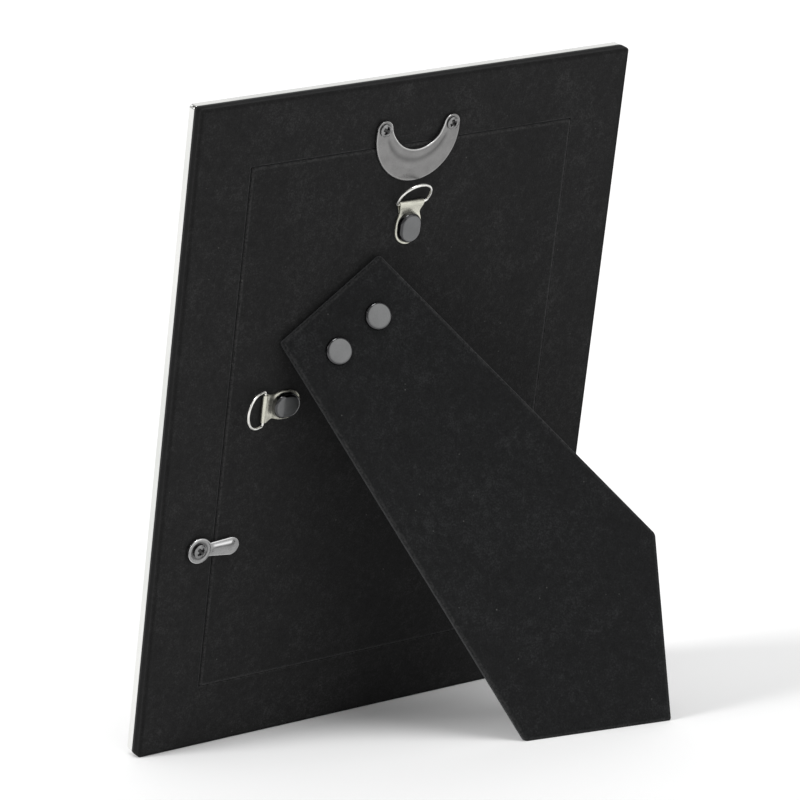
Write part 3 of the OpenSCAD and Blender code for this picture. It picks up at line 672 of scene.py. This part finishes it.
def strut_rivets():
    """Flat heads on the strut's velvet, and their clenched shanks on its inner side."""
    for side, name in ((-1, "left"), (1, "right")):
        verts, faces, grey_face = rivet_head(STRUT_OUTER - 0.02, STRUT_RIVET_R, STRUT_RIVET_R - 0.1,
                                        STRUT_RIVET_H, 1.0, 0.05)
        shank = turned([(0.3, STRUT_INNER - 0.95), (1.9, STRUT_INNER - 0.95), (2.0, STRUT_INNER - 0.8),
                        (2.0, STRUT_INNER - 0.5), (1.2, STRUT_INNER - 0.5), (1.2, STRUT_OUTER)])
        verts, faces = join((verts, faces), shank)
        grey_face += [0.0] * (len(verts) - len(grey_face))
        place = AT_STRUT @ Matrix.Translation((side * STRUT_RIVET_X, 0, -STRUT_RIVET_DOWN))
        piece("strut_rivet_head_" + name, verts, faces, place, "strut", MATERIALS["strut_rivet_grey"],
              ["strut_rivet_" + name], painted_light_and_wear=grey_face)


def screw_head(seat, radius, points=96, circles=31):
    """A low round head with a cross recess, from a fine polar grid, and the painted shade at each of its
    points, darker in the recess and round the head's seat.
    """
    ball = 2 * radius
    arm, half_w, depth = 0.7 * radius, 0.55, 1.0

    def dip(x, z):
        a, b = abs(x + z) / math.sqrt(2), abs(x - z) / math.sqrt(2)
        along, across = max(a, b), min(a, b)
        inside = 1 - soften(across, half_w * 0.7, half_w * 1.2)
        return depth * inside * (1 - soften(along, arm * 0.45, arm * 1.05))

    angles = steps(0, 2 * math.pi, points)[:-1]
    rings = [[(r * math.cos(a), y, r * math.sin(a)) for a in angles]
             for r, y in ((SCREW_SHANK_R, seat - 1.5), (SCREW_SHANK_R, seat), (radius * 0.96, seat),
                          (radius, seat + 0.08))]
    # Painted shade round the head's seat, where it meets the plate.
    painted_shade = [w for w in (0, 0, 0.8, 0.5) for _ in rings[0]]
    low = seat + SCREW_HEAD_H - ball
    for n in range(circles):
        r = radius * (1 - n / circles) * (1 if n else 0.995)
        ring = []
        for a in angles:
            x, z = r * math.cos(a), r * math.sin(a)
            ring.append((x, low + math.sqrt(ball * ball - r * r) - dip(x, z), z))
            # Painted shade in the cross recess, growing with its depth.
            painted_shade.append(0.8 * dip(x, z) / depth)
        rings.append(ring)
    return (*loft(rings), painted_shade)


def screws():
    clip_seat = CLIP_LEVEL + CLIP_T
    for side, name in ((-1, "left"), (1, "right")):
        verts, faces, painted_shade = screw_head(clip_seat, SCREW_HEAD_R)
        place = AT_CLIP @ Matrix.Translation((side * CLIP_SCREW_X, 0, 0)) @ turn("Y", 20 * side)
        piece("clip_screw_head_" + name, verts, faces, place, "frame", MATERIALS["screw_steel"],
              ["clip_screw_" + name], smooth=50, painted_light_and_wear=painted_shade)
    verts, faces, painted_shade = screw_head(CLIP_LEVEL + BUTTON_T + 0.03, BUTTON_HEAD_R)
    place = STAND @ Matrix.Translation((BUTTON_AT[0], 0, BUTTON_AT[1]))
    piece("button_screw_head", verts, faces, place, "frame", MATERIALS["screw_steel"],
          ["button_screw"], smooth=50, painted_light_and_wear=painted_shade)


# ---- pressed plates ----


def plate_section(half_w, base, thickness, edge_r, relief):
    """(across, level) points round a plate's section; relief(v) lifts its face, v from -1 to 1."""
    r = min(edge_r, half_w * 0.6)
    flat = half_w - r
    top = base + thickness

    def lifted(across, level):
        return across, level + relief(across / half_w)

    section = [lifted(flat * t, top) for t in steps(-1, 1, 26)]
    section += [lifted(flat + r * math.sin(a), top - r * (1 - math.cos(a)))
                for a in steps(0, math.pi / 2, 4)[1:]]
    section += [(half_w, base + 0.1), (half_w * 0.96, base), (0, base), (-half_w * 0.96, base),
                (-half_w, base + 0.1)]
    section += [lifted(-flat - r * math.sin(a), top - r * (1 - math.cos(a)))
                for a in steps(math.pi / 2, 0, 4)[:-1]]
    return section


def polished_highlit_edge(across, half_w):
    """-1 on a plate's rounded edge and 0 on its face: where the edge is made glossier and given a painted
    highlight.
    """
    return -soften(abs(across), half_w - 0.45, half_w - 0.2)


def rib(centre, across, section):
    return [(centre[0] + across[0] * a, level, centre[1] + across[1] * a) for a, level in section]


def crescent_ribs():
    """(inner point, outer point, fade) of each rib of the crescent, from its left tip to its right tip."""
    end_r = CLIP_R - CLIP_SCREW_X
    inner_end = math.acos(CLIP_INNER_UP / CLIP_INNER_R)
    outer_end = math.acos(-CLIP_DROP / CLIP_R)
    right_tip = []
    for a in steps(0.06, math.pi / 2, 10)[:-1]:
        z, half = end_r * math.cos(a), end_r * math.sin(a)
        right_tip.append(((CLIP_SCREW_X - half, z), (CLIP_SCREW_X + half, z), 0.0))
    left_tip = [((-i[0], i[1]), (-o[0], o[1]), f) for i, o, f in right_tip]
    middle = []
    for s in steps(-1, 1, 60):
        inner = (CLIP_INNER_R * math.sin(s * inner_end),
                 CLIP_INNER_UP - CLIP_INNER_R * math.cos(s * inner_end))
        outer = (CLIP_R * math.sin(s * outer_end), -CLIP_DROP - CLIP_R * math.cos(s * outer_end))
        middle.append((inner, outer, 1 - soften(abs(s), 0.72, 0.9)))
    return left_tip + middle + list(reversed(right_tip))


def clip_relief(v):
    """Height of the clip's pressing: a raised inner rim and a pressed band beside it."""
    return 0.3 * (1 - soften(v, -0.95, -0.72)) - 0.34 * bell(v, -0.3, 0.17) + 0.14 * bell(v, 0.15, 0.18)


def crescent_clip():
    """The pressed crescent, with painted shade in its pressed band and its rounded edges made glossier with
    a painted highlight, strongest along the inner edge, and bosses under its screws.
    """
    rings, painted_light_and_wear = [], []
    for inner, outer, fade in crescent_ribs():
        i, o = Vector(inner), Vector(outer)
        across, half = (o - i).normalized(), (o - i).length / 2
        section = plate_section(half, CLIP_LEVEL, CLIP_T, 0.3, lambda v: fade * clip_relief(v))
        rings.append(rib((i + o) / 2, across, section))
        # Painted shade in the pressed band, and a painted highlight on the rounded edges, strongest on the
        # inner edge.
        painted_light_and_wear += [0.4 * fade * bell(a / half, -0.3, 0.16) + (0.9 if a < 0 else 0.25) * polished_highlit_edge(a, half)
                 for a, _ in section]
    bosses = []
    for side in (-1, 1):
        verts, faces = turned([(0.4, 0.0), (2.1, 0.0), (2.3, CLIP_LEVEL + 0.05), (0.4, CLIP_LEVEL + 0.05)])
        bosses.append(([(x + side * CLIP_SCREW_X, y, z) for x, y, z in verts], faces))
    verts, faces = join(loft(rings), *bosses)
    painted_light_and_wear += [0.0] * (len(verts) - len(painted_light_and_wear))
    piece("clip_plate", verts, faces, AT_CLIP, "frame", MATERIALS["clip_steel"], ["crescent_clip"],
          painted_light_and_wear=painted_light_and_wear)


def button_half_width(x):
    """Half the turn button's width at x: a disc round its screw, a widening arm, a round tip."""
    tip_r = BUTTON_TIP_W / 2
    arm_end = -(BUTTON_L - tip_r)
    disc = math.sqrt(max(0.0, BUTTON_R ** 2 - x * x))
    if x > 0:
        return disc
    root = BUTTON_ROOT_W / 2
    arm = root + (tip_r - root) * min(1, x / arm_end)
    if x < arm_end:
        arm = math.sqrt(max(0.0, tip_r ** 2 - (x - arm_end) ** 2))
    blend = 0.7
    h = max(0.0, blend - abs(disc - arm)) / blend
    return max(disc, arm) + h * h * blend / 4 * (1 if disc > 0 else 0)


def button_relief(x, v, half):
    """Height of the button's pressing: a ringed dish on its disc, a ridge and a hollow on its arm."""
    r = math.hypot(x, v * half)
    dish = -0.1 * (1 - soften(r, 3.1, 3.7)) + 0.12 * bell(r, 3.75, 0.35)
    on_arm = soften(-x, 4.4, 6.2)
    ridge = 0.34 * bell(v, 0.42, 0.28) * (1 - soften(-x, 12.2, 14.2))
    hollow = -0.16 * bell(v, -0.25, 0.4) * (1 - soften(-x, 13.4, 15))
    return (1 - on_arm) * dish + on_arm * (ridge + hollow)


def button_painted_light(x, z):
    """Painted shade in a ring round the screw, a painted highlight along the ridge, and the edge made
    glossier with a painted highlight.
    """
    half = button_half_width(x)
    painted_shade = 0.75 * bell(math.hypot(x, z), BUTTON_HEAD_R + 0.35, 0.4)
    on_ridge = soften(-x, 4.8, 6.0) * (1 - soften(-x, 12.6, 14.2))
    return painted_shade - 0.9 * bell(z / half, 0.5, 0.16) * on_ridge + 0.7 * polished_highlit_edge(z, half)


def turn_button():
    """The pressed turn button and the boss under its disc."""
    tip_r = BUTTON_TIP_W / 2
    disc_end = [BUTTON_R * math.cos(a) for a in steps(0.1, math.pi / 2, 14)]
    middle = steps(0, -(BUTTON_L - tip_r), 48)[1:]
    tip = [-(BUTTON_L - tip_r) - tip_r * math.sin(a) for a in steps(0, math.pi / 2 - 0.12, 12)[1:]]
    rings = []
    for x in disc_end + middle + tip:
        half = button_half_width(x)
        section = plate_section(half, CLIP_LEVEL, BUTTON_T, 0.35, lambda v: button_relief(x, v, half))
        rings.append(rib((x, 0), (0, 1), section))
    boss = turned([(0.95, 0.04), (2.3, 0.04), (2.5, CLIP_LEVEL + 0.05), (0.95, CLIP_LEVEL + 0.05)])
    verts, faces = join(loft(rings), boss)
    piece("button_plate", verts, faces, AT_BUTTON, "button_body", MATERIALS["button_steel"],
          ["turn_button"], painted_light_and_wear=[button_painted_light(x, z) for x, _, z in verts])


# ---- hangers ----


def strap_half_width(z):
    """Half the strap's width: a round end with straight sides, a waist and a wider fold."""
    off = max(0.0, abs(z) - HANGER_RIVET_STRETCH / 2)
    disc = math.sqrt(max(0.0, STRAP_ROUND_R ** 2 - off * off))
    if z < 0:
        return disc
    waist = STRAP_WAIST / 2 - 0.25
    neck = waist + (STRAP_FOLD / 2 - waist) * soften(z, STRAP_L - 3.4, STRAP_L - 0.5)
    blend = 1.2
    h = max(0.0, blend - abs(disc - neck)) / blend if z < STRAP_L - 2 else 0
    return max(disc, neck) + h * h * blend / 4


def strap_path():
    """(z, level) of the strip's middle: along the upper layer, round the ring's bar and back below."""
    mid, turn_r = STRAP_T / 2, FOLD_R - STRAP_T / 2
    low, high = STRAP_L - 4 * FOLD_R - 0.5, STRAP_L + 1.2
    rise_from = STRAP_L - 4 * FOLD_R
    round_end = [-HANGER_RIVET_STRETCH / 2 - STRAP_ROUND_R * math.cos(a)
                 for a in steps(0.12, math.pi / 2, 10)]
    path = [(z, 3 * mid) for z in round_end + steps(0, rise_from, 6)]
    top = FOLD_R + turn_r

    def rise(z):
        return soften(z, low, high) / soften(STRAP_L, low, high)

    path += [(z, 3 * mid + (top - 3 * mid) * rise(z)) for z in steps(rise_from + 0.3, STRAP_L, 8)]
    path += arc((STRAP_L, FOLD_R), turn_r, 90, -90, 14)[1:]
    return path + [(z, mid) for z in steps(STRAP_L - 0.6, 0, 8) + round_end[::-1]]


def heading(path, i, closed=False):
    """The direction of a path of two numbers at its point i."""
    last = len(path) - 1
    before, after = (i - 1, (i + 1) % len(path)) if closed else (max(0, i - 1), min(last, i + 1))
    return (Vector(path[after]) - Vector(path[before])).normalized()


def strap(name, node, place):
    """The folded strip, its section a flat bar with slightly broken edges."""
    path = strap_path()
    cut, drop = 0.12, 0.24
    rings = []
    for i, (z, y) in enumerate(path):
        d = heading(path, i)
        out = Vector((-d.y, d.x)) * (STRAP_T / 2)
        half = max(0.3, strap_half_width(z))
        section = ((-half + cut, 1), (0, 1), (half - cut, 1), (half, 1 - drop), (half, drop - 1),
                   (half - cut, -1), (0, -1), (-half + cut, -1), (-half, drop - 1), (-half, 1 - drop))
        rings.append([(across, y + out.y * lift, z + out.x * lift) for across, lift in section])
    verts, faces = loft(rings)
    piece(name, verts, faces, place, "frame", MATERIALS["strap_nickel"], [node])


def ring_path():
    """The D's middle line, drawn as (across, reach) from the middle of its bar, all the way round."""
    legs = RING_REACH - RING_HALF_W
    bar = RING_HALF_W - RING_BEND_R
    path = [(x, 0.0) for x in steps(-bar, bar, 8)[:-1]]
    path += arc((bar, RING_BEND_R), RING_BEND_R, -90, 0, 6)
    path += arc((0, legs), RING_HALF_W, 0, 180, 44)
    path += arc((-bar, RING_BEND_R), RING_BEND_R, 180, 270, 6)[:-1]
    return path


def ring_wire(name, node, body, place, lift):
    path = ring_path()
    rings = []
    for i, here in enumerate(path):
        d = heading(path, i, closed=True)
        side = Vector((d.y, -d.x))
        ring = []
        for a in steps(0, 2 * math.pi, 16)[:-1]:
            s, y = WIRE_R * math.cos(a), WIRE_R * math.sin(a)
            ring.append((here[0] + side.x * s, y, here[1] + side.y * s))
        rings.append(ring)
    verts, faces = loft(rings, closed=True)
    place = place @ Matrix.Translation((0, FOLD_R, STRAP_L)) @ turn("X", -lift)
    piece(name, verts, faces, place, body, MATERIALS["ring_nickel"], [node], smooth=180)


def hangers():
    places = (("top", AT_TOP_HANGER, TOP_RING_LIFT), ("side", AT_SIDE_HANGER, SIDE_RING_LIFT))
    for name, place, lift in places:
        strap(name + "_strap_strip", name + "_strap", place)
        ring_wire(name + "_ring_wire", name + "_ring", name + "_ring_body", place, lift)
        foot_r, rim = HANGER_RIVET_R + 0.25, 1.15
        verts, faces, grey_face = rivet_head(2 * STRAP_T, HANGER_RIVET_R, foot_r, HANGER_RIVET_H, rim, 0.05,
                                        HANGER_RIVET_STRETCH)
        piece(name + "_rivet_head", verts, faces, place, "frame", MATERIALS["rivet_grey"],
              [name + "_rivet"], painted_light_and_wear=grey_face)


# ---- glass ----


def glass_pane():
    """The pane with its edges ground, a hair's breadth clear of the print behind it."""
    low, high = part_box("glass_pane")
    half_x = (high.x - low.x) / 2 / MM
    half_z = half_x + (PANEL[1] - PANEL[0]) / 2
    front, back, ground = SHEET_T - LIP_DEPTH, SHEET_T - LIP_DEPTH + GLASS_T - 0.1, 0.25
    rings = [rectangle_ring(half_x - 1, half_z - 1, 0.5, front),
             rectangle_ring(half_x - ground, half_z - ground, 0.6, front),
             rectangle_ring(half_x, half_z, 0.8, front + ground),
             rectangle_ring(half_x, half_z, 0.8, back - ground),
             rectangle_ring(half_x - ground, half_z - ground, 0.6, back),
             rectangle_ring(half_x - 1, half_z - 1, 0.5, back)]
    verts, faces = loft(rings)
    made = piece("glass_sheet", verts, faces, STAND, "frame", glazing(), ["glass_pane"])
    made.visible_shadow = False


# ---- CAD nodes that are kept ----


def kept_nodes():
    """Materials for the CAD nodes whose shape is right."""
    wood = fibrous("stained_wood", (0.012, 0.010, 0.008), (0.05, 0.036, 0.025), 3, (1, 1, 0.1))
    board = fibrous("brown_hardboard", (0.09, 0.055, 0.03), (0.2, 0.13, 0.08), 0.9)
    looks = {
        "core_frame": wood,
        # Painted shade: the board's visible side is near-black to draw the dark shadow line between the
        # silver and the velvet.
        "border_board": fibrous("painted_shadow_line", (0.003, 0.003, 0.003), (0.008, 0.0075, 0.007), 0.9),
        "panel_board": board,
        "strut_board": board,
        "print_sheet": fibrous("print_paper", (0.74, 0.735, 0.72), (0.82, 0.815, 0.80), 0.7,
                               rough=0.5, depth_mm=0.01),
        "backing_card": fibrous("grey_card", (0.22, 0.19, 0.15), (0.36, 0.32, 0.26), 1.2),
    }
    for node in ("hinge_fixed_leaf", "hinge_moving_leaf", "hinge_pin", "leaf_rivet_left",
                 "leaf_rivet_right"):
        looks[node] = MATERIALS["hinge_steel"]
    for node, material in looks.items():
        mesh = frame["nodes"][node].data
        mesh.materials.clear()
        mesh.materials.append(material)


# ---- studio ----


def camera():
    """The photograph's view, from behind the frame and a little above it."""
    azimuth, elevation, roll = math.radians(143.708), math.radians(11.417), math.radians(-2.454)
    target, distance, lens = STAND @ Vector((2.675, 11.261, 121.701)), 1.815, 243.93
    back = Vector((math.sin(azimuth) * math.cos(elevation), -math.cos(azimuth) * math.cos(elevation),
                   math.sin(elevation)))
    level = Vector((0, 0, 1)).cross(back).normalized()
    right = level * math.cos(roll) + back.cross(level) * math.sin(roll)
    up = back.cross(right)
    data = bpy.data.cameras.new("camera")
    data.lens, data.sensor_width = lens, 36.0
    made = bpy.data.objects.new("camera", data)
    place = Matrix((right, up, back)).transposed().to_4x4()
    place.translation = target + back * distance
    made.matrix_world = place
    bpy.context.scene.collection.objects.link(made)
    bpy.context.scene.camera = made
    return place


def soft_sun(name, direction, softness, strength):
    """A far, soft light from the given direction, the same all over the floor."""
    data = bpy.data.lights.new(name, "SUN")
    data.angle, data.energy = math.radians(softness), strength
    made = bpy.data.objects.new(name, data)
    made.rotation_mode = "QUATERNION"
    made.rotation_quaternion = direction.to_track_quat("Z", "Y")
    bpy.context.scene.collection.objects.link(made)


def studio():
    """A pale floor under a dim dome, lit by soft lights set round the camera."""
    right, up, back = camera().to_3x3().col
    lights = (("key", -0.80, 0.42, 0.45, 26, 1.5), ("top", 0.05, 0.86, 0.50, 22, 0.9),
              ("fill", 0.70, 0.30, 0.65, 50, 0.5), ("rear", 0.11, 0.70, -0.70, 56, 0.30))
    for name, across, above, behind, softness, strength in lights:
        soft_sun(name, right * across + up * above + back * behind, softness, strength)
    world = bpy.data.worlds.new("dome")
    bpy.context.scene.world = world
    world.use_nodes = True
    sky = world.node_tree.nodes["Background"]
    sky.inputs["Color"].default_value = (1, 1, 1, 1)
    sky.inputs["Strength"].default_value = 0.52
    half = 8.0
    mesh = bpy.data.meshes.new("floor")
    mesh.from_pydata([(-half, -half, 0), (half, -half, 0), (half, half, 0), (-half, half, 0)], [],
                     [(0, 1, 2, 3)])
    paint = Shader("pale_floor")
    paint.set("Base Color", (0.96, 0.96, 0.96, 1))
    paint.set("Roughness", 0.9)
    mesh.materials.append(paint.material)
    floor = bpy.data.objects.new("floor", mesh)
    bpy.context.scene.collection.objects.link(floor)
    bpy.context.scene.view_settings.view_transform = "Standard"


studio()
silver_rails()
border_velvet()
panel_velvet()
strut_velvet()
strut_rivets()
crescent_clip()
turn_button()
screws()
hangers()
glass_pane()
kept_nodes()

bpy.context.view_layer.update()
